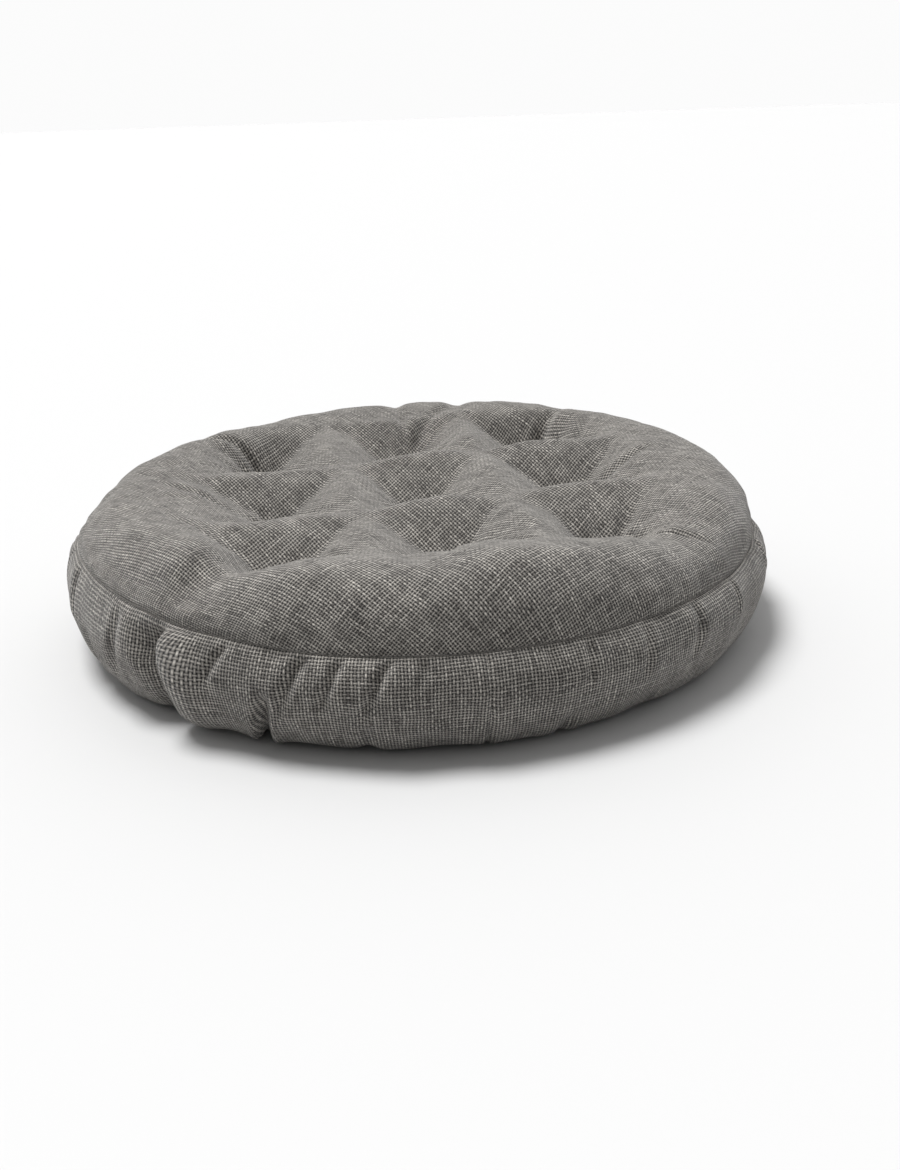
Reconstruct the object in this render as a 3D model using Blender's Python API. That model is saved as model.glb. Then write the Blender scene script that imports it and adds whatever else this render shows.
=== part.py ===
"""Round tufted chair seat pad: two cloth panels, a boxing strip, fibre filling and thread.

Blender 4.5, metres, +Z up. The origin is on the surface the pad rests on, under the
middle of the pad. The front of the pad faces -Y.
"""

import math

import bmesh
import bpy
from mathutils import Vector
from mathutils.geometry import delaunay_2d_cdt

# ---- Driving dimensions -------------------------------------------------------------
CLOTH = 0.0012            # thickness of the upholstery cloth
GAP = 0.0004              # clearance between neighbouring pieces
SEGMENTS = 48             # facets round the pad

SEAM_RADIUS = 0.1891      # upper seam, between the top panel and the side band
SEAM_Z = 0.053
BASE_SEAM_RADIUS = 0.1771  # lower seam, tucked under the edge
BASE_SEAM_Z = 0.006
WIDEST_RADIUS = 0.1985    # where the side band bulges most
CREST_RADIUS = 0.162      # top of the plump rim
PAD_HEIGHT = 0.085
PILLOW_Z = 0.078          # top of the pad between the tufts
SEAM_ALLOWANCE = 0.008    # cloth turned in at each seam

TUFT_SPACING = 0.086      # three rows of three tufts, on a square
TUFT_TURN = math.radians(8.3)
TUFT_CENTRE = (0.004, 0.004)
TUFT_TOP_Z = 0.047        # the top panel where a stitch holds it down
TUFT_BASE_Z = 0.009       # the bottom panel where a stitch holds it up
TUFT_FLAT = 0.007         # radius of the flat spot under each stitch
TOP_DIP_RADIUS = 0.038    # reach of a dimple in the top panel
BASE_DIP_RADIUS = 0.026   # reach of a dimple in the bottom panel

TWINE_RADIUS = 0.0008
TWINE_HALF_WIDTH = 0.003  # half the distance between the two legs of a stitch
STITCH_HOLE_EASE = 0.0002 # extra room round the twine where it passes through a cloth
STITCH_HOLE_RADIUS = TWINE_RADIUS + GAP + STITCH_HOLE_EASE
STITCH_HOLE_SIDES = 8
SEAM_THREAD_RADIUS = 0.0005
SEAM_THREAD_SET_OFF = 0.0010   # from the seam's corner to the middle of its thread
SEAM_GROOVE_TURN = math.radians(31)        # the way each seam's groove opens
BASE_SEAM_GROOVE_TURN = math.radians(-56)
THREAD_SIDES = 6
JOIN_ANGLE = math.radians(-81.5)   # where the ends of the side band meet
JOIN_HALF_GAP = SEAM_THREAD_RADIUS + GAP

# Density of the panels' nets.
NET_RINGS = ((0.132, 36), (0.110, 28), (0.086, 20), (0.062, 14), (0.030, 8))  # radius, points
RIM_FROM = 0.140          # from here outwards the rings follow the corners of the section
DIMPLES_END = 0.150       # every dimple ends inside this radius
DIMPLE_STEPS = ((0.0, 8), (0.45, 10))  # share of the way from the flat spot out, points
DIMPLE_EDGE = 0.92        # outermost ring of a dimple, as a share of its reach
DIMPLE_EDGE_POINTS = 14
LEAST_SPACING = 0.005     # between two points of a net
SHARP_FROM = math.radians(50)  # edges that bend more than this are shaded as corners

ROW_NAMES = ("front", "middle", "back")
COLUMN_NAMES = ("left", "centre", "right")


# ---- Cross-sections: lists of (radius, height), each one the outer face of a cloth ----
def top_section(allowance):
    """Top panel from the middle out to the seam, then in along its turned edge."""
    half = GAP / 2
    return [
        (0.0, PILLOW_Z),
        (0.105, PILLOW_Z),
        (0.145, PAD_HEIGHT - 0.002),
        (CREST_RADIUS, PAD_HEIGHT),
        (0.173, PAD_HEIGHT - 0.004),
        (0.182, PAD_HEIGHT - 0.0130),
        (0.1875, SEAM_Z + 0.008),
        (SEAM_RADIUS, SEAM_Z + half),
        (SEAM_RADIUS - allowance, SEAM_Z + half),
    ]


def band_section(allowance):
    """Side band from its upper turned edge, round the bulge, to its lower turned edge."""
    half = GAP / 2
    return [
        (SEAM_RADIUS - allowance, SEAM_Z - half),
        (SEAM_RADIUS, SEAM_Z - half),
        (0.1945, 0.0485),
        (WIDEST_RADIUS - 0.0010, 0.0430),
        (WIDEST_RADIUS, 0.0360),
        (WIDEST_RADIUS - 0.0012, 0.0270),
        (0.1930, 0.0175),
        (0.1860, 0.0105),
        (BASE_SEAM_RADIUS, BASE_SEAM_Z + half),
        (BASE_SEAM_RADIUS - allowance, BASE_SEAM_Z + half),
    ]


def bottom_section(allowance):
    """Bottom panel from the middle out to the seam, then in along its turned edge."""
    half = GAP / 2
    return [
        (0.0, 0.0),
        (0.155, 0.0),
        (0.166, 0.0),
        (0.170, 0.0008),
        (0.1735, 0.0026),
        (BASE_SEAM_RADIUS, BASE_SEAM_Z - half),
        (BASE_SEAM_RADIUS - allowance, BASE_SEAM_Z - half),
    ]


def inset(section, distance):
    """The same open line moved sideways by distance, with mitred corners."""
    points = [Vector(p) for p in section]
    sides = []
    for a, b in zip(points, points[1:]):
        along = (b - a).normalized()
        sides.append(Vector((along.y, -along.x)) * distance)
    moved = [points[0] + sides[0]]
    for point, before, after in zip(points[1:], sides, sides[1:]):
        middle = (before + after).normalized()
        moved.append(point + middle * (distance ** 2 / middle.dot(before)))
    moved.append(points[-1] + sides[-1])
    return [tuple(p) for p in moved]


# ---- Tufts ----------------------------------------------------------------------------
def tuft_places():
    """Name and plan position of each tuft, row by row from the front."""
    places = []
    for row, row_name in enumerate(ROW_NAMES, start=-1):
        for column, column_name in enumerate(COLUMN_NAMES, start=-1):
            x = column * TUFT_SPACING
            y = row * TUFT_SPACING
            places.append((
                f"{row_name}_{column_name}",
                TUFT_CENTRE[0] + x * math.cos(TUFT_TURN) - y * math.sin(TUFT_TURN),
                TUFT_CENTRE[1] + x * math.sin(TUFT_TURN) + y * math.cos(TUFT_TURN),
            ))
    return places


TUFTS = tuft_places()


def tuft_pull(x, y, reach):
    """1 on the flat spot under a stitch, falling smoothly to 0 at the reach."""
    nearest = min(math.hypot(x - tx, y - ty) for _, tx, ty in TUFTS)
    share = (nearest - TUFT_FLAT) / (reach - TUFT_FLAT)
    share = min(max(share, 0.0), 1.0)
    return 0.5 + 0.5 * math.cos(math.pi * share)


# ---- Mesh building --------------------------------------------------------------------
def segment_angles():
    return [JOIN_ANGLE + math.tau * k / SEGMENTS for k in range(SEGMENTS)]


def disc_plan(section, reach):
    """Plan points and triangles of a panel, finer at the rim and round each tuft.

    The first SEGMENTS points are the outermost ring.
    """
    rim = section[-3][0]
    points = [Vector((rim * math.cos(a), rim * math.sin(a))) for a in segment_angles()]
    free = []
    for radius in [knot[0] for knot in section[-4:1:-1] if knot[0] > RIM_FROM]:
        free += [(radius, a) for a in segment_angles()]
    for radius, count in NET_RINGS:
        free += [(radius, math.tau * k / count) for k in range(count)]
    edge = reach * DIMPLE_EDGE
    rings = [(TUFT_FLAT + (reach - TUFT_FLAT) * share, count) for share, count in DIMPLE_STEPS]
    rings.append((edge, DIMPLE_EDGE_POINTS))
    for radius, angle in free:
        point = Vector((radius * math.cos(angle), radius * math.sin(angle)))
        nearest = min((point - Vector((tx, ty))).length for _, tx, ty in TUFTS)
        if radius > DIMPLES_END or nearest > edge + LEAST_SPACING:
            points.append(point)
    for _, tx, ty in TUFTS:
        for radius, count in rings:
            for k in range(count):
                angle = math.tau * k / count
                point = Vector((tx + radius * math.cos(angle), ty + radius * math.sin(angle)))
                crowded = any((point - p).length < LEAST_SPACING for p in points)
                if point.length < DIMPLES_END and not crowded:
                    points.append(point)
    plan, _, faces, _, _, _ = delaunay_2d_cdt(points, [], [], 0, 1e-7)
    return plan, faces


def on_section(radius, section, offset_section):
    """The place on the moved line that belongs to a radius on the first line."""
    for (r0, _), (r1, _), low, high in zip(section, section[1:], offset_section, offset_section[1:]):
        if radius <= r1 + 1e-6:
            share = (radius - r0) / (r1 - r0)
            return [a + (b - a) * share for a, b in zip(low, high)]
    return list(offset_section[-1])


def disc_layer(plan, section, offset_section, stitch_z, reach):
    """Vertices of one face of a panel, dimpled to stitch_z at every tuft."""
    knots = section[:-1]
    moved = offset_section[:-1]
    layer = []
    for x, y in plan:
        radius = math.hypot(x, y)
        new_radius, z = on_section(radius, knots, moved)
        scale = new_radius / radius if radius > 1e-9 else 1.0
        pull = tuft_pull(x, y, reach)
        layer.append((x * scale, y * scale, z * (1.0 - pull) + stitch_z * pull))
    return layer


def ring(radius, z, angles):
    return [(radius * math.cos(a), radius * math.sin(a), z) for a in angles]


def add_object(name, vertices, faces, material):
    """A closed mesh as an object, with its faces turned outwards."""
    mesh = bpy.data.meshes.new(name)
    mesh.from_pydata(vertices, [], faces)
    work = bmesh.new()
    work.from_mesh(mesh)
    bmesh.ops.recalc_face_normals(work, faces=work.faces)
    work.to_mesh(mesh)
    work.free()
    mesh.shade_smooth()
    mesh.set_sharp_from_angle(angle=SHARP_FROM)
    mesh.materials.append(material)
    made = bpy.data.objects.new(name, mesh)
    bpy.context.collection.objects.link(made)
    return made


def join_rings(faces, first, second, count):
    """Quads between two closed rings whose vertices start at first and second."""
    for k in range(count):
        n = (k + 1) % count
        faces.append((first + k, first + n, second + n, second + k))


def add_panel(name, section, thickness, stitch_z, reach, material):
    """A round cloth panel: two dimpled faces joined round a turned-in edge."""
    side = thickness if stitch_z > PAD_HEIGHT / 2 else -thickness
    inner = inset(section, side)
    plan, triangles = disc_plan(section, reach)
    vertices = disc_layer(plan, section, section, stitch_z, reach)
    vertices += disc_layer(plan, section, inner, stitch_z - side, reach)
    size = len(plan)
    faces = [tuple(face) for face in triangles]
    faces += [tuple(size + v for v in reversed(face)) for face in triangles]
    last = 0
    for radius, z in (section[-2], section[-1], inner[-1], inner[-2]):
        start = len(vertices)
        vertices += ring(radius, z, segment_angles())
        join_rings(faces, last, start, SEGMENTS)
        last = start
    join_rings(faces, last, size, SEGMENTS)
    return add_object(name, vertices, faces, material)


def add_side_band(name, section, material):
    """A strip that runs once round the pad, its two ends facing each other at the join."""
    inner = inset(section, CLOTH)
    outline = section + inner[::-1]
    end_turn = JOIN_HALF_GAP / WIDEST_RADIUS
    angles = segment_angles() + [JOIN_ANGLE + math.tau]
    angles[0] += end_turn
    angles[-1] -= end_turn
    vertices = []
    for angle in angles:
        vertices += [(r * math.cos(angle), r * math.sin(angle), z) for r, z in outline]
    size = len(outline)
    faces = []
    for k in range(len(angles) - 1):
        join_rings(faces, k * size, (k + 1) * size, size)
    half = len(section)
    for start in (0, (len(angles) - 1) * size):
        for k in range(half - 1):
            faces.append((start + k, start + k + 1, start + size - 2 - k, start + size - 1 - k))
    return add_object(name, vertices, faces, material)


def add_filling(name, material):
    """The stuffed core: everything inside the cloth, notched where the seams turn in."""
    depth = CLOTH + GAP
    allowance = SEAM_ALLOWANCE + GAP
    top = top_section(allowance)
    top_inner = inset(top, depth)
    band_inner = inset(band_section(allowance), depth)
    base = bottom_section(allowance)
    base_inner = inset(base, -depth)
    plan, triangles = disc_plan(top, TOP_DIP_RADIUS)
    vertices = disc_layer(plan, top, top_inner, TUFT_TOP_Z - depth, TOP_DIP_RADIUS)
    faces = [tuple(face) for face in triangles]
    last = 0
    for radius, z in top_inner[-2:] + band_inner + base_inner[:-3:-1]:
        start = len(vertices)
        vertices += ring(radius, z, segment_angles())
        join_rings(faces, last, start, SEGMENTS)
        last = start
    plan, triangles = disc_plan(base, BASE_DIP_RADIUS)
    start = len(vertices)
    vertices += disc_layer(plan, base, base_inner, TUFT_BASE_Z + depth, BASE_DIP_RADIUS)
    join_rings(faces, last, start, SEGMENTS)
    faces += [tuple(start + v for v in reversed(face)) for face in triangles]
    return add_object(name, vertices, faces, material)


def add_tube(name, path, radius, across, material, closed):
    """A round thread along a plane path; across is the direction square to that plane."""
    across = Vector(across)
    path = [Vector(p) for p in path]
    count = len(path)
    vertices = []
    for k, point in enumerate(path):
        before = path[k - 1] if closed or k > 0 else point
        after = path[(k + 1) % count] if closed or k < count - 1 else point
        side = (after - before).normalized().cross(across)
        for s in range(THREAD_SIDES):
            turn = math.tau * s / THREAD_SIDES
            vertices.append(point + (side * math.cos(turn) + across * math.sin(turn)) * radius)
    faces = []
    for k in range(count if closed else count - 1):
        join_rings(faces, k * THREAD_SIDES, (k + 1) % count * THREAD_SIDES, THREAD_SIDES)
    if not closed:
        faces.append(tuple(range(THREAD_SIDES)))
        faces.append(tuple(range((count - 1) * THREAD_SIDES, count * THREAD_SIDES)))
    return add_object(name, vertices, faces, material)


# ---- Thread pieces --------------------------------------------------------------------
def add_seam_ring(name, corner_radius, corner_z, groove_turn, material):
    """The stitching of one round seam, lying in the groove between the two cloths."""
    radius = corner_radius + SEAM_THREAD_SET_OFF * math.cos(groove_turn)
    z = corner_z + SEAM_THREAD_SET_OFF * math.sin(groove_turn)
    profile = []
    for side in range(THREAD_SIDES):
        turn = math.tau * side / THREAD_SIDES
        profile.append((
            radius + SEAM_THREAD_RADIUS * math.cos(turn), z + SEAM_THREAD_RADIUS * math.sin(turn)))
    vertices = []
    for angle in segment_angles():
        vertices += [(r * math.cos(angle), r * math.sin(angle), h) for r, h in profile]
    faces = []
    for k in range(SEGMENTS):
        join_rings(faces, k * THREAD_SIDES, (k + 1) % SEGMENTS * THREAD_SIDES, THREAD_SIDES)
    return add_object(name, vertices, faces, material)


def add_band_join(name, material):
    """The stitching that closes the side band into a loop, in the slot between its ends."""
    line = inset(band_section(SEAM_ALLOWANCE), SEAM_THREAD_RADIUS)[2:-2]
    outwards = Vector((math.cos(JOIN_ANGLE), math.sin(JOIN_ANGLE), 0.0))
    path = [outwards * r + Vector((0.0, 0.0, z)) for r, z in line]
    across = (-outwards.y, outwards.x, 0.0)
    return add_tube(name, path, SEAM_THREAD_RADIUS, across, material, closed=False)


def add_tuft_stitch(name, x, y, material):
    """One loop of twine: down through the pad, across under it, and up again."""
    clear = GAP + TWINE_RADIUS
    along = Vector((math.cos(TUFT_TURN), math.sin(TUFT_TURN), 0.0))
    corner = clear
    reach = TWINE_HALF_WIDTH - corner
    top = TUFT_TOP_Z + clear - corner
    base = TUFT_BASE_Z - clear + corner
    path = []
    for centre, height, first in ((reach, top, 0), (-reach, top, 1), (-reach, base, 2), (reach, base, 3)):
        for step in range(3):
            turn = math.pi / 2 * (first + step / 2)
            shift = centre + corner * math.cos(turn)
            path.append(Vector((x, y, height + corner * math.sin(turn))) + along * shift)
    across = (-along.y, along.x, 0.0)
    return add_tube(name, path, TWINE_RADIUS, across, material, closed=True)


def stitch_hole_cutter():
    """Eighteen upright pins, where the legs of the tuft stitches pass through the pad."""
    work = bmesh.new()
    for _, x, y in TUFTS:
        for side in (-1, 1):
            shift = side * TWINE_HALF_WIDTH
            made = bmesh.ops.create_cone(
                work, cap_ends=True, segments=STITCH_HOLE_SIDES, depth=PAD_HEIGHT * 1.25,
                radius1=STITCH_HOLE_RADIUS, radius2=STITCH_HOLE_RADIUS)
            place = Vector((
                x + shift * math.cos(TUFT_TURN), y + shift * math.sin(TUFT_TURN), PAD_HEIGHT / 2))
            bmesh.ops.translate(work, verts=made["verts"], vec=place)
    mesh = bpy.data.meshes.new("stitch_hole_cutter")
    work.to_mesh(mesh)
    work.free()
    cutter = bpy.data.objects.new("stitch_hole_cutter", mesh)
    cutter.hide_render = True
    cutter.display_type = "WIRE"
    bpy.context.collection.objects.link(cutter)
    return cutter


def pierce(piece, cutter):
    modifier = piece.modifiers.new("stitch holes", "BOOLEAN")
    modifier.operation = "DIFFERENCE"
    modifier.solver = "EXACT"
    modifier.object = cutter


# ---- Materials ------------------------------------------------------------------------
def material(name, colour, roughness):
    made = bpy.data.materials.new(name)
    made.use_nodes = True
    shader = made.node_tree.nodes["Principled BSDF"]
    shader.inputs["Base Color"].default_value = (*colour, 1.0)
    shader.inputs["Roughness"].default_value = roughness
    shader.inputs["Metallic"].default_value = 0.0
    return made


for leftover in list(bpy.data.objects):
    bpy.data.objects.remove(leftover)

linen = material("warm grey linen weave", (0.24, 0.22, 0.20), 0.9)
fibre = material("white polyester fibre", (0.85, 0.85, 0.83), 1.0)
thread = material("grey sewing thread", (0.30, 0.28, 0.26), 0.7)
twine = material("grey tufting twine", (0.27, 0.25, 0.23), 0.8)

# ---- The pad, from the outside in -----------------------------------------------------
holes = stitch_hole_cutter()
top_panel = add_panel(
    "top_cover_panel", top_section(SEAM_ALLOWANCE), CLOTH, TUFT_TOP_Z, TOP_DIP_RADIUS, linen)
bottom_panel = add_panel(
    "bottom_cover_panel", bottom_section(SEAM_ALLOWANCE), CLOTH, TUFT_BASE_Z, BASE_DIP_RADIUS, linen)
add_side_band("side_band", band_section(SEAM_ALLOWANCE), linen)
filling = add_filling("fibre_filling", fibre)
for pierced in (top_panel, bottom_panel, filling):
    pierce(pierced, holes)

add_seam_ring("upper_seam_thread", SEAM_RADIUS, SEAM_Z, SEAM_GROOVE_TURN, thread)
add_seam_ring("lower_seam_thread", BASE_SEAM_RADIUS, BASE_SEAM_Z, BASE_SEAM_GROOVE_TURN, thread)
add_band_join("band_join_thread", thread)
for tuft_name, tuft_x, tuft_y in TUFTS:
    add_tuft_stitch(f"tuft_stitch_{tuft_name}", tuft_x, tuft_y, twine)
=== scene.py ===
import math

import bpy
import numpy as np
from mathutils import Matrix, Vector, noise
from mathutils.geometry import delaunay_2d_cdt


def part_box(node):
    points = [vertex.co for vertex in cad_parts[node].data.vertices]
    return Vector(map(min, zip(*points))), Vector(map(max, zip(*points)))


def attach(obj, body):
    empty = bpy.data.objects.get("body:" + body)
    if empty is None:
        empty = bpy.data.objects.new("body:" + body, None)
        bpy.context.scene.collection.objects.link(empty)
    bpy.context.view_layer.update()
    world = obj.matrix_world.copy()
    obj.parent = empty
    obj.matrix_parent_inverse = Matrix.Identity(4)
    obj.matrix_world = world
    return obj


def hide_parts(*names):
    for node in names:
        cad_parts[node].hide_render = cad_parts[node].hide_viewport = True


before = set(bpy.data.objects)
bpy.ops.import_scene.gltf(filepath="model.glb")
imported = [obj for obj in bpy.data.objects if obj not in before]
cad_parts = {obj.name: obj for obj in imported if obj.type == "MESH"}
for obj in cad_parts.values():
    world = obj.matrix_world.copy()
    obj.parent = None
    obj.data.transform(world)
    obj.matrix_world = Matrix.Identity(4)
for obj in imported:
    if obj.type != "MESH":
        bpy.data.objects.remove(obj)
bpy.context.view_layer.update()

# ---- Shape of the stuffed cover ------------------------------------------------------
# A round top, a round bottom and a strip sewn between them, filled with loose fibre.
# Nine stitches of twine pull the top down, so it swells into rolls between their rows.
MM = 0.001
SWELL = 3.5 * MM                    # the filling lifts the rim by about this much later
RIM_WIDTH = 28 * MM                 # from the top of the rim out to the seam
ROLL_DROP = 6 * MM                  # the rolls between the tufts are lower than the rim
TUFT_SINK = 5 * MM                  # the cloth lies this far under the top of a twine loop
top_low, top_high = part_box("top_cover_panel")
strip_low, strip_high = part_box("side_band")
_, base_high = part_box("bottom_cover_panel")
SEAM_RADIUS = top_high[0]
SEAM_Z = (top_low[2] + strip_high[2]) / 2
BASE_SEAM_RADIUS = base_high[0]
BASE_SEAM_Z = strip_low[2]
WIDEST = strip_high[0]
RIM_Z = top_high[2] - SWELL
CREST_RADIUS = SEAM_RADIUS - RIM_WIDTH
ROLL_Z = RIM_Z - ROLL_DROP

tufts = {}
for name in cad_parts:
    if name.startswith("tuft_stitch"):
        low, high = (np.array(corner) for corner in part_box(name))
        tufts[name] = ((low + high) / 2, low[2], high[2])
tuft_xy = np.array([middle[:2] for middle, _, _ in tufts.values()])
TUFT_TOP_Z = min(high for _, _, high in tufts.values()) - TUFT_SINK
middle_left, centre, middle_right = (
    tufts["tuft_stitch_middle_" + side][0][:2] for side in ("left", "centre", "right"))
row_way = (middle_right - middle_left) / np.linalg.norm(middle_right - middle_left)
column_way = np.array([-row_way[1], row_way[0]])
SPACING = np.linalg.norm(middle_right - middle_left) / 2


def smooth_line(points, step):
    """A smooth curve through a few (radius, height) points: the run along it, its points."""
    pieces = 40
    knots = np.array(points)
    before = np.vstack([2 * knots[0] - knots[1], knots[:-1]])
    after = np.vstack([knots[1:], 2 * knots[-1] - knots[-2]])
    slope = (after - before) / 2
    fine = [knots[-1]]
    for k in range(len(knots) - 1, 0, -1):
        for t in np.linspace(1, 0, pieces)[1:]:
            fine.append(
                knots[k - 1] * (2 * t**3 - 3 * t**2 + 1) + slope[k - 1] * (t**3 - 2 * t**2 + t)
                + knots[k] * (3 * t**2 - 2 * t**3) + slope[k] * (t**3 - t**2))
    fine = np.array(fine[::-1])
    run = np.concatenate([[0], np.cumsum(np.linalg.norm(np.diff(fine, axis=0), axis=1))])
    even = np.linspace(0, run[-1], int(run[-1] / step) + 1)
    return even, np.stack([np.interp(even, run, fine[:, k]) for k in (0, 1)], axis=1)


LINE_STEP = 0.5 * MM
top_run, top_line = smooth_line([
    (0, ROLL_Z),
    (CREST_RADIUS * 0.5, ROLL_Z),
    (CREST_RADIUS * 0.78, ROLL_Z + 1.5 * MM),
    (CREST_RADIUS, RIM_Z),
    (SEAM_RADIUS - 12 * MM, SEAM_Z + 26 * MM),
    (SEAM_RADIUS - 3.5 * MM, SEAM_Z + 14.5 * MM),
    (SEAM_RADIUS, SEAM_Z),
], LINE_STEP)
strip_run, strip_line = smooth_line([
    (SEAM_RADIUS, SEAM_Z),
    (WIDEST - 3.5 * MM, SEAM_Z - 6 * MM),
    (WIDEST, SEAM_Z - 16 * MM),
    (WIDEST - 3.5 * MM, SEAM_Z - 33 * MM),
    (WIDEST - 11 * MM, 3.5 * MM),
    (BASE_SEAM_RADIUS + 4 * MM, 0.8 * MM),
    (BASE_SEAM_RADIUS, BASE_SEAM_Z - 1 * MM),
], LINE_STEP)
TOP_SIZE = top_run[-1]
STRIP_SIZE = strip_run[-1]
CREST_RUN = np.interp(CREST_RADIUS, top_line[:, 0], top_run)

# How the rim rises and sinks on its way round: (direction, half width, rise).
RIM_WAVES = (
    (-122, 8, -8.5 * MM), (-92, 8, -2 * MM), (-75, 9, 4.5 * MM), (-38, 15, -12 * MM),
    (0, 30, -1.5 * MM), (53, 4, -2 * MM), (79, 2.5, -2.5 * MM), (94, 2.5, -2.5 * MM),
    (122, 28, -3 * MM), (143, 5, -1.5 * MM), (188, 30, -4 * MM),
)


def ease(x, start, end):
    """0 before start, 1 after end, smooth between."""
    t = np.clip((x - start) / (end - start), 0, 1)
    return t * t * (3 - 2 * t)


def turn_between(angle, degrees):
    """Angle from a direction given in degrees, between -pi and pi."""
    return (angle - math.radians(degrees) + math.pi) % (2 * math.pi) - math.pi


def rim_rise(angle):
    """How far the rim stands above its usual height in a direction."""
    total = np.zeros_like(angle)
    for degrees, half_width, rise in RIM_WAVES:
        total += rise * np.exp(-((turn_between(angle, degrees) / math.radians(half_width)) ** 2))
    return total


def wander(x, y, size, seed):
    """Slow random wander between about -1 and 1, the same on every run."""
    return np.array([noise.noise(Vector((a / size, b / size, seed))) for a, b in zip(x, y)]) * 2


ROLL_FULLNESS = 1.3                 # 1 gives straight sides between rows, 2 round ones
CORNER_DIP = 0.12                   # dip in the middle of four tufts, a share of the height
RIDGE_ROUNDING = 0.06               # where two crossing rolls meet
ROW_WANDER, WANDER_SIZE = 2.5 * MM, 45 * MM


def roll_height(x, y):
    """Share of the full height between two rows of tufts: 0 on a row, 1 half-way."""
    shift_x = x + ROW_WANDER * wander(x, y, WANDER_SIZE, 1.3)
    shift_y = y + ROW_WANDER * wander(x, y, WANDER_SIZE, 7.7)
    heights = []
    for way in (row_way, column_way):
        place = (shift_x - centre[0]) * way[0] + (shift_y - centre[1]) * way[1]
        line = np.clip(np.round(place / SPACING), -1, 1) * SPACING
        share = np.clip(np.abs(place - line) / (SPACING / 2), 0, 1)
        heights.append(1 - (1 - share) ** ROLL_FULLNESS)
    across, along = heights
    top = (across + along + np.sqrt((across - along) ** 2 + RIDGE_ROUNDING**2) - RIDGE_ROUNDING) / 2
    inner = (np.abs(x * row_way[0] + y * row_way[1]) < SPACING) & (
        np.abs(x * column_way[0] + y * column_way[1]) < SPACING)
    return top * (1 - CORNER_DIP * inner * (across * along) ** 3)


# How the seam strays on its way round: (direction, half width, outward, upward).
SEAM_WAVES = (
    (180, 30, 1.5 * MM, 0), (0, 60, 1.5 * MM, 0), (-155, 32, 0, 9 * MM), (-116, 8, 0, 1 * MM),
)
TILT_X, TILT_Y = 0.035, 0.03        # the middle of the top leans a little, rise per run


def stray(angle, near_seam):
    """Outward and upward shift of the cloth near the seam; near_seam is 1 on it."""
    outward = np.zeros_like(angle)
    upward = np.zeros_like(angle)
    for degrees, half_width, out, up in SEAM_WAVES:
        here = np.exp(-((turn_between(angle, degrees) / math.radians(half_width)) ** 2))
        outward += out * here * near_seam
        upward += up * here * near_seam
    return outward, upward


def top_shape(run, angle):
    """Points of the top by their run from the middle and their direction."""
    radius = np.interp(run, top_run, top_line[:, 0])
    height = np.interp(run, top_run, top_line[:, 1])
    outward, upward = stray(angle, ease(run, TOP_SIZE - 24 * MM, TOP_SIZE))
    radius += outward
    height += upward
    on_rim = ease(run, CREST_RUN * 0.5, CREST_RUN * 0.96) * (1 - ease(run, CREST_RUN, TOP_SIZE))
    height += rim_rise(angle) * on_rim
    x, y = radius * np.cos(angle), radius * np.sin(angle)
    height += (TILT_X * x + TILT_Y * y) * (1 - on_rim) * (1 - ease(run, CREST_RUN, TOP_SIZE))
    inside = 1 - ease(radius, CREST_RADIUS - 34 * MM, CREST_RADIUS + 2 * MM)
    height -= (height - TUFT_TOP_Z) * (1 - roll_height(x, y)) * inside
    return np.stack([x, y, height], axis=1)


def strip_shape(run, angle):
    """Points of the strip by their run from the upper seam and their direction."""
    radius = np.interp(run, strip_run, strip_line[:, 0])
    height = np.interp(run, strip_run, strip_line[:, 1])
    outward, upward = stray(angle, 1 - ease(run, 0, 20 * MM))
    radius, height = radius + outward, height + upward
    return np.stack([radius * np.cos(angle), radius * np.sin(angle), height], axis=1)


# ---- Sewing and stuffing -------------------------------------------------------------
# The top is an even net of points and the strip a grid of them, joined along one row.
# The filling presses the cover out while the twine and both seams hold it back.
JOIN = -81.5                        # direction of the upright join in the strip
PINCH = -128.5                      # direction of the deep fold in the strip
NET = 3.8 * MM
SEAM_ROWS = (0.0, 1.2 * MM, 3.0 * MM, 5.8 * MM)
STEPS = 20                          # frames of settling
SPARE = 0.022                       # the rim is cut this share larger than it is sewn
MOST_SWELL = 6 * MM

# Points crowd together round the deep fold and the puckers at the front.
turns = np.linspace(0, 2 * math.pi, 4001) + math.radians(JOIN)
crowd = (1 + 2.2 * np.exp(-((turn_between(turns, PINCH) / math.radians(6)) ** 2))
         + 0.5 * np.exp(-((turn_between(turns, -100) / math.radians(30)) ** 2)))
share = np.concatenate([[0], np.cumsum((crowd[1:] + crowd[:-1]) / 2)])
AROUND = int(2 * math.pi * SEAM_RADIUS / NET * crowd.mean() / 2) * 2
columns = np.interp(np.arange(AROUND) / AROUND, share / share[-1], turns)

def cut_disc(size, net):
    """An even net of points over a disc, its outer rings first, and its triangles."""
    flat = []
    for inset in SEAM_ROWS:
        flat += [((size - inset) * math.cos(a), (size - inset) * math.sin(a)) for a in columns]
    net_row = net * math.sqrt(3) / 2
    reach = size - SEAM_ROWS[-1] - 0.75 * net
    for row in range(-int(reach / net_row), int(reach / net_row) + 1):
        for column in range(-int(reach / net) - 1, int(reach / net) + 2):
            u, v = (column + 0.5 * (row % 2)) * net, row * net_row
            if math.hypot(u, v) < reach:
                flat.append((u, v))
    places, _, triangles, _, _, _ = delaunay_2d_cdt([Vector(p) for p in flat], [], [], 0, 1e-8)
    return np.array([tuple(p) for p in places]), [tuple(face) for face in triangles]


plan, top_faces = cut_disc(TOP_SIZE, NET)
TOP_COUNT = len(plan)

strip_rows = list(SEAM_ROWS)
while strip_rows[-1] < STRIP_SIZE - 6 * MM:
    strip_rows.append(strip_rows[-1] + NET * 0.9)
strip_rows += [STRIP_SIZE - 2.4 * MM, STRIP_SIZE - 1 * MM, STRIP_SIZE]
strip_rows = np.array(strip_rows)

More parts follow.
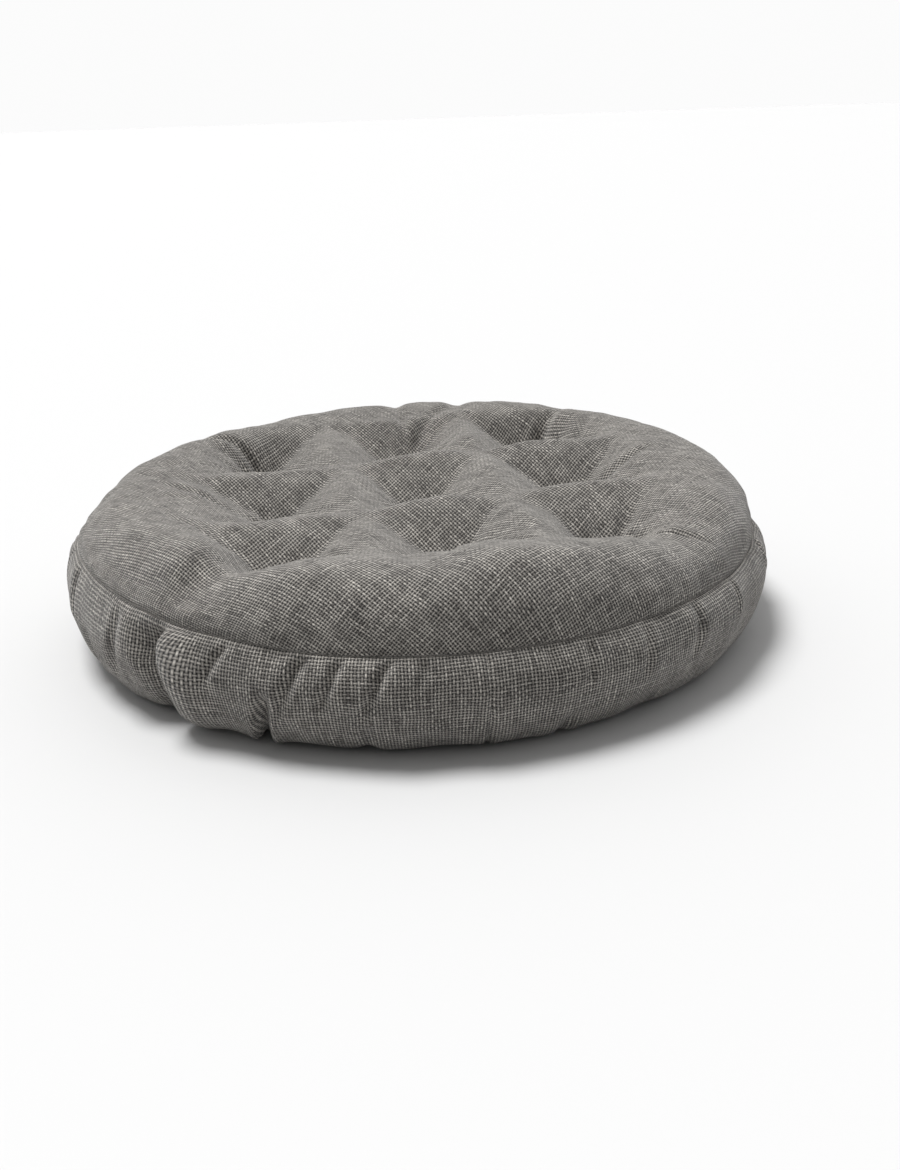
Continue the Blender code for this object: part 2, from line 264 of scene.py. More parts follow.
run = np.hypot(plan[:, 0], plan[:, 1])
rest = [top_shape(run, np.arctan2(plan[:, 1], plan[:, 0]))]
faces = list(top_faces)
last = np.arange(AROUND)
for k, row in enumerate(strip_rows[1:]):
    rest.append(strip_shape(np.full(AROUND, row), columns))
    new = TOP_COUNT + k * AROUND + np.arange(AROUND)
    faces += list(zip(np.roll(last, -1), last, new, np.roll(new, -1)))
    last = new
rest = np.vstack(rest)


def make_mesh(name, points, faces):
    """An object in the scene made of points and faces."""
    mesh = bpy.data.meshes.new(name)
    mesh.from_pydata(np.asarray(points).tolist(), [], [tuple(map(int, face)) for face in faces])
    piece = bpy.data.objects.new(name, mesh)
    bpy.context.collection.objects.link(piece)
    return piece


def stuffed(points, faces):
    """The settled points of the sewn cover after the filling has pressed it out."""
    piece = make_mesh("sewn_cover", points, faces)
    hold = piece.vertex_groups.new(name="hold")
    near = np.hypot(points[:, None, 0] - tuft_xy[:, 0], points[:, None, 1] - tuft_xy[:, 1])
    near = near.min(axis=1)
    radius = np.hypot(points[:, 0], points[:, 1])
    weight = np.zeros(len(points))
    weight[(np.arange(len(points)) < TOP_COUNT) & (near < 6 * MM)] = 1
    weight[:AROUND] = 0.95
    weight[-AROUND:] = 1
    for index in np.nonzero(weight)[0]:
        hold.add([int(index)], float(weight[index]), "REPLACE")
    piece.shape_key_add(name="sewn")
    cut = piece.shape_key_add(name="cut")
    spare = 1 + SPARE * ease(radius, CREST_RADIUS * 0.85, SEAM_RADIUS)
    cut.data.foreach_set("co", (points * np.stack([spare, spare, np.ones_like(spare)], 1)).ravel())
    cut.value = 0
    cloth = piece.modifiers.new("stuffing", "CLOTH")
    settings = cloth.settings
    settings.quality = 6
    settings.mass = 0.16
    settings.tension_stiffness = 25
    settings.compression_stiffness = 25
    settings.shear_stiffness = 8
    settings.bending_stiffness = 0.1
    settings.air_damping = 3
    settings.use_pressure = True
    settings.uniform_pressure_force = 4
    settings.vertex_group_mass = "hold"
    settings.pin_stiffness = 1
    settings.rest_shape_key = cut
    settings.effector_weights.gravity = 0
    cloth.collision_settings.use_collision = False
    scene = bpy.context.scene
    scene.frame_start, scene.frame_end = 1, STEPS
    cloth.point_cache.frame_start, cloth.point_cache.frame_end = 1, STEPS
    for step in range(1, STEPS + 1):
        scene.frame_set(step)
    shaped = piece.evaluated_get(bpy.context.evaluated_depsgraph_get())
    settled = np.empty(points.size)
    shaped.data.vertices.foreach_get("co", settled)
    scene.frame_set(1)
    bpy.data.objects.remove(piece)
    moved = settled.reshape(-1, 3) - points
    length = np.linalg.norm(moved, axis=1)
    return points + moved * np.minimum(1, MOST_SWELL / np.maximum(length, 1e-9))[:, None]


cover = stuffed(rest, faces)

# ---- Linen-look cloth ----------------------------------------------------------------
# A coarse plain weave of grey slub yarn. Each yarn passes over one and under one, with a
# pinhole at every crossing, and the yarns differ in thickness and shade.
YARN = 1.6 * MM


def colour(code):
    """A linear colour from an sRGB hex code."""
    channels = [int(code[k:k + 2], 16) / 255 for k in (1, 3, 5)]
    return [*(c / 12.92 if c < 0.04045 else ((c + 0.055) / 1.055) ** 2.4 for c in channels), 1]


def add_node(tree, kind, *values, **settings):
    """Adds a node with its settings. Nodes, sockets or numbers go to its inputs in order."""
    node = tree.nodes.new("ShaderNode" + kind)
    for name, value in settings.items():
        if name in node.bl_rna.properties:
            setattr(node, name, value)
        else:
            values += ((name.replace("_", " "), value),)
    for place, value in enumerate(values):
        socket = node.inputs[place]
        if isinstance(value, tuple) and isinstance(value[0], str):
            socket, value = node.inputs[value[0]], value[1]
        if isinstance(value, bpy.types.Node):
            value = value.outputs[0]
        if isinstance(value, bpy.types.NodeSocket):
            tree.links.new(value, socket)
        elif value is not None:
            socket.default_value = value
    return node


def linen_material():
    """Matt cloth of single yarns that the eye can follow, with a faint bloom of loose fibre."""
    material = bpy.data.materials.new("linen_weave")
    material.use_nodes = True
    tree = material.node_tree
    shader = tree.nodes["Principled BSDF"]

    cut = add_node(tree, "UVMap", uv_map="cut")

    # The rows of yarn wander a little, as in any loose cloth.
    drift = add_node(tree, "TexNoise", cut, Scale=1 / (26 * MM), Detail=2.0).outputs["Color"]
    drift = add_node(tree, "VectorMath", drift, (0.5, 0.5, 0.5), operation="SUBTRACT")
    drift = add_node(tree, "VectorMath", drift, operation="SCALE", Scale=2.6 * MM)
    place = add_node(tree, "VectorMath", cut, drift, operation="ADD")
    place = add_node(tree, "SeparateXYZ", place)
    count, number, across = [], [], []
    for way in place.outputs[:2]:
        count.append(add_node(tree, "Math", way, YARN, operation="DIVIDE"))
        number.append(add_node(tree, "Math", count[-1], operation="FLOOR"))
        part = add_node(tree, "Math", count[-1], number[-1], operation="SUBTRACT")
        across.append(add_node(tree, "Math", part, 0.5, operation="SUBTRACT"))
    odd = add_node(tree, "Math", *number, operation="ADD")
    odd = add_node(tree, "Math", odd, 2.0, operation="FLOORED_MODULO")
    odd = add_node(tree, "Math", odd, 2.0, operation="MULTIPLY")
    over = add_node(tree, "Math", 1.0, odd, operation="SUBTRACT")

    # Each set of yarns: round yarns with slubs, that rise where they pass over the others. Their light
    # is painted in too: lighter on each yarn's crown and where it lies on top, darker at its edges and
    # where it dips.
    # (set, seed, least half width, 1 if it lies on top at an even crossing, painted light level on its
    # top)
    heights, lights, shades = [], [], []
    for k, seed, least, on_top, top_light in ((0, 0.0, 0.19, 1, 0.75), (1, 9.0, 0.14, -1, 0.70)):
        along = add_node(tree, "Math", count[1 - k], 0.045, operation="MULTIPLY")
        slub = add_node(tree, "CombineXYZ", number[k], along, seed)
        slub = add_node(tree, "TexNoise", slub, Scale=1.7, Detail=3.0)
        half = add_node(tree, "Math", slub, 0.30, least, operation="MULTIPLY_ADD")
        ratio = add_node(tree, "Math", across[k], half, operation="DIVIDE")
        body = add_node(tree, "Math", ratio, ratio, operation="MULTIPLY")
        body = add_node(tree, "Math", 1.0, body, operation="SUBTRACT")
        body = add_node(tree, "Math", body, 0.0, operation="MAXIMUM")
        body = add_node(tree, "Math", body, operation="SQRT")
        rise = add_node(tree, "Math", across[1 - k], math.pi, operation="MULTIPLY")
        rise = add_node(tree, "Math", rise, operation="COSINE")
        rise = add_node(tree, "Math", over, rise, operation="MULTIPLY")
        # The rise lifts the bump height and also paints the yarn: painted highlight where it lies on
        # top, painted shade where it dips under.
        for results, swing, level in ((heights, 0.42, 0.58), (lights, 0.25, top_light)):
            lifted = add_node(tree, "Math", rise, on_top * swing, level, operation="MULTIPLY_ADD")
            results.append(add_node(tree, "Math", body, lifted, operation="MULTIPLY"))
        own = add_node(tree, "Math", number[k], 7.31, operation="MULTIPLY")
        along = add_node(tree, "Math", count[1 - k], 0.12, operation="MULTIPLY")
        own = add_node(tree, "CombineXYZ", own, along, seed + 4.0)
        shades.append(add_node(tree, "TexNoise", own, Scale=1.0, Detail=3.0))
    height = add_node(tree, "Math", *heights, operation="MAXIMUM")
    light = add_node(tree, "Math", *lights, operation="MAXIMUM")
    warp_up = add_node(tree, "Math", *heights, operation="GREATER_THAN")
    weft_up = add_node(tree, "Math", 1.0, warp_up, operation="SUBTRACT")
    warp_up = add_node(tree, "Math", warp_up, shades[0], operation="MULTIPLY")
    weft_up = add_node(tree, "Math", weft_up, shades[1], operation="MULTIPLY")
    shade = add_node(tree, "Math", warp_up, weft_up, operation="ADD")

    # Own shade of single yarns, painted light on their round tops, pinholes between them painted near
    # black as the shade inside them, fuzz on them and faint clouds.
    yarn_shade = add_node(tree, "ValToRGB", shade)
    for stop, (position, code) in zip((0, 1), ((0.28, "#66615C"), (0.72, "#E8E2D9"))):
        yarn_shade.color_ramp.elements[stop].position = position
        yarn_shade.color_ramp.elements[stop].color = colour(code)
    fuzz = add_node(tree, "TexNoise", cut, Scale=1 / (0.35 * MM), Detail=2.0)
    cloudy = add_node(tree, "TexNoise", cut, Scale=1 / (34 * MM), Detail=3.0)
    # Painted light and shade of the yarns, sharpened; it falls to near zero in the pinholes as painted
    # shade.
    light = add_node(tree, "Math", light, 2.2, operation="POWER")
    fuzzy = add_node(tree, "Math", fuzz, 0.5, 0.75, operation="MULTIPLY_ADD")
    light = add_node(tree, "Math", light, fuzzy, operation="MULTIPLY")
    light = add_node(tree, "Math", light, 0.98, 0.02, operation="MULTIPLY_ADD")
    cloudy = add_node(tree, "Math", cloudy, 0.35, 0.83, operation="MULTIPLY_ADD")
    light = add_node(tree, "Math", light, cloudy, operation="MULTIPLY")
    light = add_node(tree, "CombineColor", light, light, light)
    cloth = add_node(tree, "MixRGB", 1.0, yarn_shade, light, blend_type="MULTIPLY")
    tree.links.new(cloth.outputs[0], shader.inputs["Base Color"])
    relief = add_node(tree, "Math", fuzz, 0.25, operation="MULTIPLY")
    relief = add_node(tree, "Math", height, relief, operation="ADD")
    bump = add_node(tree, "Bump", Strength=0.9, Distance=0.45 * MM, Height=relief)
    tree.links.new(bump.outputs[0], shader.inputs["Normal"])
    shader.inputs["Roughness"].default_value = 0.92
    shader.inputs["Specular IOR Level"].default_value = 0.2
    shader.inputs["Sheen Weight"].default_value = 0.25
    shader.inputs["Sheen Roughness"].default_value = 0.6
    return material


linen = linen_material()

# ---- Round top -----------------------------------------------------------------------
# One disc of cloth cut so that its yarns run slantwise to the front. Its edge is turned
# in at the seam, and folds run from the outer tufts to the rim.
GROOVE = 0.8 * MM                   # depth that the stitching pulls the seam in
GROOVE_WIDTH = 1.3 * MM
# Rows of the turned-in edge: (height above the seam, depth behind it).
ALLOWANCE = ((0.6 * MM, 1.6 * MM), (0.9 * MM, 4 * MM), (1.0 * MM, 8 * MM))


def turned_in(edge, side):
    """Rows of the seam allowance inside the cover: side is 1 above the seam, -1 below."""
    rows = []
    length = np.linalg.norm(edge[:, :2], axis=1)
    for lift, depth in ALLOWANCE:
        row = edge.copy()
        row[:, :2] *= ((length - depth) / length)[:, None]
        row[:, 2] += side * lift
        rows.append(row)
    return rows


def seam_pulled(points, reach, depth):
    """Moves points in by depth at the seam, less and less with their reach from it."""
    pull = depth * np.exp(-((reach / GROOVE_WIDTH) ** 2))
    radius = np.hypot(points[:, 0], points[:, 1])
    points = points.copy()
    points[:, :2] *= ((radius - pull) / radius)[:, None]
    return points


def with_cut(piece, places):
    """Lays the flat cloth places of the points on the piece as its cut coordinates."""
    layer = piece.data.uv_layers.new(name="cut")
    corners = np.empty(len(piece.data.loops), dtype=np.int64)
    piece.data.loops.foreach_get("vertex_index", corners)
    layer.data.foreach_set("uv", places[corners].ravel())


def refined(piece):
    """The piece with its subdivision applied; returns its points, normals and cut places."""
    piece.modifiers.new("fine", "SUBSURF").levels = 1
    fine = bpy.data.meshes.new_from_object(
        piece.evaluated_get(bpy.context.evaluated_depsgraph_get()))
    piece.modifiers.clear()
    piece.data = fine
    count = len(fine.vertices)
    points, normals = np.empty(count * 3), np.empty(count * 3)
    fine.vertices.foreach_get("co", points)
    fine.vertices.foreach_get("normal", normals)
    corners = np.empty(len(fine.loops), dtype=np.int64)
    fine.loops.foreach_get("vertex_index", corners)
    uv = np.empty(len(fine.loops) * 2)
    fine.uv_layers["cut"].data.foreach_get("uv", uv)
    places = np.empty((count, 2))
    places[corners] = uv.reshape(-1, 2)
    return points.reshape(-1, 3), normals.reshape(-1, 3), places


def fold_line(places, start, end, bow, width):
    """Side distance from a gently bowed line over width, and 0 to 1 strength along it."""
    start, end = np.array(start), np.array(end)
    way = end - start
    along = ((places - start) @ way) / (way @ way)
    side = ((places - start) @ np.array([-way[1], way[0]])) / np.linalg.norm(way)
    side = side - bow * 4 * along * (1 - along)
    strength = ease(along, -0.12, 0.15) * (1 - ease(along, 0.75, 1.12))
    return side / width, strength


def finish_piece(piece, points, material, *nodes, slot="linen_cloth"):
    """Sets the final points, smooth shading and material, hangs the piece under the root body and hides
    its CAD nodes.
    """
    piece.data.vertices.foreach_set("co", points.ravel())
    piece.data.update()
    piece.data.shade_smooth()
    piece.data.materials.append(material)
    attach(piece, "root")
    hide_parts(*nodes)


def polar(radius, degrees):
    """A place on the flat top."""
    return radius * math.cos(math.radians(degrees)), radius * math.sin(math.radians(degrees))


edge = np.arange(AROUND)
top_points = seam_pulled(cover[:TOP_COUNT], TOP_SIZE - run, GROOVE)
rows = turned_in(top_points[:AROUND], 1)
top_places = [plan]
piece_faces = list(top_faces)
last = edge
for k, (row, (_, depth)) in enumerate(zip(rows, ALLOWANCE)):
    new = TOP_COUNT + k * AROUND + edge
    piece_faces += list(zip(last, new, np.roll(new, -1), np.roll(last, -1)))
    top_places.append(plan[:AROUND] * (TOP_SIZE + depth) / TOP_SIZE)
    last = new
top_places = np.vstack(top_places)
top_piece = make_mesh("top_cover", np.vstack([top_points, *rows]), piece_faces)
# The yarns of the top and bottom run at this angle to the front.
slant = math.radians(45)
TURN = np.array([[math.cos(slant), -math.sin(slant)], [math.sin(slant), math.cos(slant)]])
with_cut(top_piece, top_places @ TURN)
points, normals, places = refined(top_piece)
places = places @ TURN.T
if normals[np.hypot(places[:, 0], places[:, 1]) < 0.1][:, 2].mean() < 0:
    normals = -normals

# Folds that the outer tufts draw towards the rim: (tuft, end, bow, depth, width).
TOP_FOLDS = (
    ("back_left", polar(CREST_RUN + 6 * MM, 143), -7 * MM, 3.6 * MM, 3.2 * MM),
    ("back_centre", polar(CREST_RUN + 6 * MM, 79), 3 * MM, 3.2 * MM, 4 * MM),
    ("back_centre", polar(CREST_RUN + 6 * MM, 93.7), -3 * MM, 2.6 * MM, 3 * MM),
    ("back_right", polar(CREST_RUN + 6 * MM, 52.6), 2 * MM, 3.4 * MM, 3.6 * MM),
    ("middle_left", polar(CREST_RUN - 12 * MM, 178), 4 * MM, 2.4 * MM, 4 * MM),
    ("middle_right", polar(CREST_RUN - 14 * MM, 12), -4 * MM, 2.4 * MM, 4 * MM),
    ("front_right", polar(CREST_RUN + 22 * MM, -36), -3 * MM, 3.0 * MM, 2.6 * MM),
    ("front_left", polar(TOP_SIZE - 4 * MM, -128), 4 * MM, 2.4 * MM, 10 * MM),
    ("front_left", polar(CREST_RUN + 4 * MM, -124), 3 * MM, 1.6 * MM, 3 * MM),
    ("front_left", polar(CREST_RUN - 16 * MM, -160), 4 * MM, 2.2 * MM, 4 * MM),
    ("front_centre", polar(CREST_RUN - 14 * MM, -86), 3 * MM, 1.8 * MM, 4 * MM),
)
flat_radius = np.hypot(places[:, 0], places[:, 1])
sink = np.zeros(len(points))
for tuft, end, bow, depth, width in TOP_FOLDS:
    start = tufts["tuft_stitch_" + tuft][0][:2]
    side, strength = fold_line(places, start, end, bow, width)
    sink += depth * strength * (np.exp(-side**2) - 0.3 * np.exp(-((side / 2.6) ** 2)))
# Small pleats gather round each stitch.
PLEAT_REACH = 9 * MM
for k, (x, y) in enumerate(tuft_xy):
    away = np.hypot(points[:, 0] - x, points[:, 1] - y) / PLEAT_REACH
    round_it = np.arctan2(points[:, 1] - y, points[:, 0] - x)
    pleats = np.cos(8 * round_it + 2.1 * k + 1.2 * np.sin(2 * round_it + k))
    sink += 1.0 * MM * pleats * away**1.5 * np.exp(1.5 - 1.5 * away)
uneven = wander(places[:, 0], places[:, 1], 30 * MM, 3.1) * 0.8 * MM
uneven += wander(places[:, 0], places[:, 1], 11 * MM, 5.9) * 0.3 * MM
fade = 1 - ease(flat_radius, TOP_SIZE - 7 * MM, TOP_SIZE - 1 * MM)
points = points + normals * ((uneven - sink) * fade)[:, None]
finish_piece(top_piece, points, linen, "top_cover_panel")

# ---- Side strip ----------------------------------------------------------------------
# One straight strip of the same cloth, its ends joined upright near the front. Spare
# length is gathered under the upper seam into short slanting puckers.
strip = np.vstack([cover[:AROUND], cover[TOP_COUNT:]]).reshape(len(strip_rows), AROUND, 3)
strip = np.concatenate([strip, strip[:, :1]], axis=1)
strip_angles = np.append(columns, columns[0] + 2 * math.pi)
reach = np.repeat(strip_rows, AROUND + 1)
strip = seam_pulled(strip.reshape(-1, 3), reach, GROOVE)
strip = seam_pulled(strip, STRIP_SIZE - reach, GROOVE).reshape(len(strip_rows), AROUND + 1, 3)
upper = turned_in(strip[0], -1)
lower = turned_in(strip[-1], 1)
heights = [depth for _, depth in reversed(ALLOWANCE)] + list(-strip_rows)
heights += [-(STRIP_SIZE + depth) for _, depth in ALLOWANCE]
grid = np.stack([*reversed(upper), *strip, *lower])
rows_count, column_count = grid.shape[:2]
strip_faces = []
for r in range(rows_count - 1):
    first = r * column_count + np.arange(column_count - 1)
    strip_faces += list(zip(first + 1, first, first + column_count, first + column_count + 1))
strip_piece = make_mesh("side_strip", grid.reshape(-1, 3), strip_faces)
places = np.stack(np.meshgrid(strip_angles * WIDEST, heights), axis=-1).reshape(-1, 2)
with_cut(strip_piece, places)
points, normals, places = refined(strip_piece)
outward = points[:, :2] / np.hypot(points[:, 0], points[:, 1])[:, None]
if (normals[:, :2] * outward).sum(axis=1).mean() < 0:
    normals = -normals


def strip_place(degrees, down):
    """A place on the flat strip: the direction it faces, and how far below the seam."""
    around = turn_between(math.radians(degrees), JOIN) % (2 * math.pi)
    return (math.radians(JOIN) + around) * WIDEST, -down


# Puckers: (direction at the top, direction at the bottom, from, to, depth, width), in
# degrees and mm. The front ones are laid one by one, the others are scattered.
DEEPEN = 1.7
PUCKERS = [
    (-117.5, -121, 2, 20, 1.8, 2.6), (-106, -110.5, 1, 34, 2.6, 3.2), (-100.8, -103.8, 0, 26, 2.4, 2.6),
    (-94.2, -98.4, 0, 30, 2.6, 2.6), (-89.6, -90.8, 1, 18, 1.0, 2.2), (-72.6, -73.4, 1, 16, 1.1, 2.4),
    (-66.8, -68, 0, 24, 1.4, 2.6), (-57.5, -59, 2, 28, 1.2, 2.8), (-47, -48.5, 0, 30, 1.5, 3.0),
    (-36, -37, 1, 24, 1.3, 2.6), (-111.4, -114.4, 22, 66, 5.2, 3.4), (-70, -71, 40, 66, 1.6, 4.5),
    (-97.5, -98.5, 36, 60, 1.2, 4.5), (-139, -142, 4, 40, 1.8, 4.0), (-150, -150, 20, 60, 1.4, 4.5),
]
random = np.random.default_rng(11)
direction = -28.0
while direction < 205:
    length = random.uniform(14, 44)
    start = random.choice([0, 0, 1, 60 - length])
    PUCKERS.append((direction, direction + random.uniform(-4, 2), start, start + length,
                    random.uniform(1.0, 2.6), random.uniform(2.2, 3.8)))
    direction += random.uniform(5, 12)
sink = np.zeros(len(points))
for top_way, low_way, start, end, depth, width in PUCKERS:
    side, strength = fold_line(
        places, strip_place(top_way, start * MM), strip_place(low_way, end * MM), 0, width * MM)
    sink += DEEPEN * depth * MM * strength * (np.exp(-side**2) - 0.4 * np.exp(-((side / 2.4) ** 2)))
# The join lies in a crease with a low swelling on both sides.
beside = np.minimum(np.abs(places[:, 0] - strip_place(JOIN, 0)[0]),
                    np.abs(places[:, 0] - strip_place(JOIN, 0)[0] - 2 * math.pi * WIDEST))
sink += 1.9 * MM * np.exp(-((beside / (1.7 * MM)) ** 2))
sink -= 0.7 * MM * np.exp(-((beside / (5 * MM)) ** 2))
around, down = places[:, 0] / WIDEST, -places[:, 1]
uneven = 0.9 * MM * wander(
    np.cos(around) * WIDEST - down * 0.6, np.sin(around) * WIDEST + down * 0.5, 26 * MM, 2.2)
fade = ease(down, 0.4 * MM, 4 * MM) * (1 - ease(down, STRIP_SIZE - 5 * MM, STRIP_SIZE))
points = points + normals * ((uneven - sink) * fade)[:, None]

# The deep fold: the strip's right side laps over its left in a soft lobe. Across the fold
# go the depth it sinks to and the distance it laps over, all in mm.
side, strength = fold_line(
    places, strip_place(PINCH, 4 * MM), strip_place(PINCH + 2.2, STRIP_SIZE - 8 * MM), 3 * MM, 1 * MM)
sunk = (15 * np.exp(-(((side + 4.5) / 6) ** 2)) + 7 * np.exp(-(((side + 15) / 9) ** 2))
        - 4 * np.exp(-(((side - 11) / 9) ** 2)))
lapped = -9 * np.exp(-(((side - 4) / 7) ** 2))
around = np.stack([-outward[:, 1], outward[:, 0]], axis=1)
points = points - normals * (sunk * MM * strength * fade)[:, None]
points[:, :2] += around * (lapped * MM * strength * fade)[:, None]
finish_piece(strip_piece, points, linen, "side_band")

# ---- Round bottom --------------------------------------------------------------------
# A plain disc of the same cloth that lies flat and is drawn up in nine dimples where the
# twine passes through. It is a little smaller than the top, so the strip rolls under.
BASE_LIE = 0.3 * MM                 # height of the cloth that rests on the seat
BASE_NET = 4.6 * MM
BASE_DIMPLE = 21 * MM               # reach of each dimple
base_run, base_line = smooth_line([
    (0, BASE_LIE),
    (BASE_SEAM_RADIUS - 40 * MM, BASE_LIE),
    (BASE_SEAM_RADIUS - 12 * MM, BASE_LIE),
    (BASE_SEAM_RADIUS - 3 * MM, BASE_LIE + 1.8 * MM),
    (BASE_SEAM_RADIUS, BASE_SEAM_Z - 1 * MM),
], LINE_STEP)
BASE_SIZE = base_run[-1]
base_plan, base_faces = cut_disc(BASE_SIZE, BASE_NET)
run = np.hypot(base_plan[:, 0], base_plan[:, 1])
angle = np.arctan2(base_plan[:, 1], base_plan[:, 0])
radius, height = (np.interp(run, base_run, base_line[:, k]) for k in (0, 1))
base_points = np.stack([radius * np.cos(angle), radius * np.sin(angle), height], axis=1)
base_points = seam_pulled(base_points, BASE_SIZE - run, GROOVE)
base_points[:AROUND] = strip[-1][:-1]
base_ring = base_points[:AROUND]
away = np.hypot(base_points[:, None, 0] - tuft_xy[:, 0], base_points[:, None, 1] - tuft_xy[:, 1])
nearest = away.min(axis=1)
TUFT_BASE_Z = max(low for _, low, _ in tufts.values()) + 1.5 * MM
base_points[:, 2] += (TUFT_BASE_Z - BASE_LIE) * (1 - ease(nearest, 0, BASE_DIMPLE)) ** 1.4
base_count = len(base_points)
base_places = [base_plan]
piece_faces = [face[::-1] for face in base_faces]
rows = turned_in(base_ring, -1)
for row in rows:
    row[:, 2] += 2 * (base_ring[:, 2] - row[:, 2])
last = edge
for k, (_, depth) in enumerate(ALLOWANCE):
    new = base_count + k * AROUND + edge
    piece_faces += list(zip(np.roll(last, -1), np.roll(new, -1), new, last))
    base_places.append(base_plan[:AROUND] * (BASE_SIZE + depth) / BASE_SIZE)
    last = new
base_piece = make_mesh("bottom_cover", np.vstack([base_points, *rows]), piece_faces)
with_cut(base_piece, np.vstack(base_places) @ TURN)
points, normals, places = refined(base_piece)
lift = np.zeros(len(points))
for k, (x, y) in enumerate(tuft_xy):
    away = np.hypot(points[:, 0] - x, points[:, 1] - y) / PLEAT_REACH
    round_it = np.arctan2(points[:, 1] - y, points[:, 0] - x)
    pleats = 0.5 + 0.5 * np.cos(9 * round_it + 1.7 * k + 1.2 * np.sin(2 * round_it + k))
    lift += 1.6 * MM * pleats * away**1.5 * np.exp(1.5 - 1.5 * away)
flat_radius = np.hypot(places[:, 0], places[:, 1])
lift += np.abs(wander(places[:, 0], places[:, 1], 34 * MM, 8.8)) * 0.8 * MM
points[:, 2] += lift * (1 - ease(flat_radius, BASE_SIZE - 12 * MM, BASE_SIZE - 3 * MM))
finish_piece(base_piece, points, linen, "bottom_cover_panel")

# ---- Filling -------------------------------------------------------------------------
# Loose white polyester fibre that fills the cover. It lies just under the cloth all
# round and is squeezed in at the tufts.
fill_points = np.vstack([cover, base_points])
fill_faces = list(faces)
base_from = len(cover)
fill_faces += [tuple(base_from + i for i in face[::-1]) for face in base_faces]
strip_end = len(cover) - AROUND + edge
base_end = base_from + edge
fill_faces += list(zip(np.roll(strip_end, -1), strip_end, base_end, np.roll(base_end, -1)))
filling = make_mesh("polyester_fibre", fill_points, fill_faces)
filling.data.update()
inward = np.empty(len(fill_points) * 3)
filling.data.vertices.foreach_get("normal", inward)
inward = inward.reshape(-1, 3)
if inward[TOP_COUNT // 2:TOP_COUNT][:, 2].mean() < 0:
    inward = -inward
around_it = np.arctan2(fill_points[:, 1], fill_points[:, 0])
radius = np.hypot(fill_points[:, 0], fill_points[:, 1])
on_side = ease(radius, CREST_RADIUS - 10 * MM, SEAM_RADIUS - 8 * MM)
by_tuft = np.hypot(
    fill_points[:, None, 0] - tuft_xy[:, 0], fill_points[:, None, 1] - tuft_xy[:, 1]).min(axis=1)
thinner = 4.5 + 3.5 * on_side + 3.5 * (1 - ease(by_tuft, 8 * MM, 20 * MM))
# It is drawn in behind the deep fold and behind the notch beside it.
drawn_in = on_side * (19 * np.exp(-((turn_between(around_it, PINCH) / 0.2) ** 2))
                      + 6 * np.exp(-((turn_between(around_it, -112) / 0.1) ** 2)))
fill_points = fill_points - inward * (thinner * MM)[:, None]
fill_points[:, 0] -= np.cos(around_it) * drawn_in * MM
fill_points[:, 1] -= np.sin(around_it) * drawn_in * MM

# White loose fibre: fine curled strands, soft tufts and no shine.
fibre = bpy.data.materials.new("polyester_fibre")
fibre.use_nodes = True
tree = fibre.node_tree
shader = tree.nodes["Principled BSDF"]
place = add_node(tree, "TexCoord").outputs["Object"]
strands = add_node(tree, "TexNoise", place, Scale=1 / (0.9 * MM), Detail=6.0, Distortion=2.5)
tufting = add_node(tree, "TexNoise", place, Scale=1 / (14 * MM), Detail=3.0)
shade = add_node(tree, "ValToRGB", strands)
for stop, code in zip((0, 1), ("#C9C7C1", "#F4F3EF")):
    shade.color_ramp.elements[stop].color = colour(code)
relief = add_node(tree, "Math", strands, tufting, operation="ADD")
bump = add_node(tree, "Bump", Strength=0.8, Distance=1.2 * MM, Height=relief)
tree.links.new(shade.outputs[0], shader.inputs["Base Color"])
tree.links.new(bump.outputs[0], shader.inputs["Normal"])
shader.inputs["Roughness"].default_value = 0.95
shader.inputs["Sheen Weight"].default_value = 0.4
finish_piece(filling, fill_points, fibre, "fibre_filling", slot="fibre")

# ---- Seam stitching ------------------------------------------------------------------
# Grey polyester thread in short lock stitches, lying at the bottom of each seam and of
# the upright join. Only the tops of the stitches show between the two cloths.
STITCH = 3.2 * MM
STITCH_POINTS = 6


def spun_material(name, dark, light, twist, rough):
    """Spun thread or twine: fine slanting plies, with a painted highlight where they stand up and
    painted shade between them.
    """
    material = bpy.data.materials.new(name)
    material.use_nodes = True
    tree = material.node_tree
    shader = tree.nodes["Principled BSDF"]
    way = add_node(tree, "UVMap", uv_map="cut")
    parts = add_node(tree, "SeparateXYZ", way)
    slant = add_node(tree, "Math", parts, 2 * math.pi / twist, operation="MULTIPLY")
    phase = add_node(tree, "Math", parts.outputs[1], 6.0, slant, operation="MULTIPLY_ADD")
    # The ply wave: its high part is a painted highlight on each raised ply, its low part painted shade
    # between plies.
    ply = add_node(tree, "Math", phase, operation="SINE")
    ply = add_node(tree, "MapRange", ply, -1.0, 1.0, 0.0, 1.0)
    fuzz = add_node(tree, "TexNoise", way, Scale=1 / (0.4 * MM), Detail=3.0)
    level = add_node(tree, "Math", ply, fuzz, operation="MULTIPLY")
    shade = add_node(tree, "ValToRGB", level)
    for stop, code in zip((0, 1), (dark, light)):
        shade.color_ramp.elements[stop].color = colour(code)
    shade.color_ramp.elements[1].position = 0.6
    bump = add_node(tree, "Bump", Strength=0.7, Distance=0.1 * MM, Height=ply)
    tree.links.new(shade.outputs[0], shader.inputs["Base Color"])
    tree.links.new(bump.outputs[0], shader.inputs["Normal"])
    shader.inputs["Roughness"].default_value = rough
    shader.inputs["Sheen Weight"].default_value = 0.2
    return material


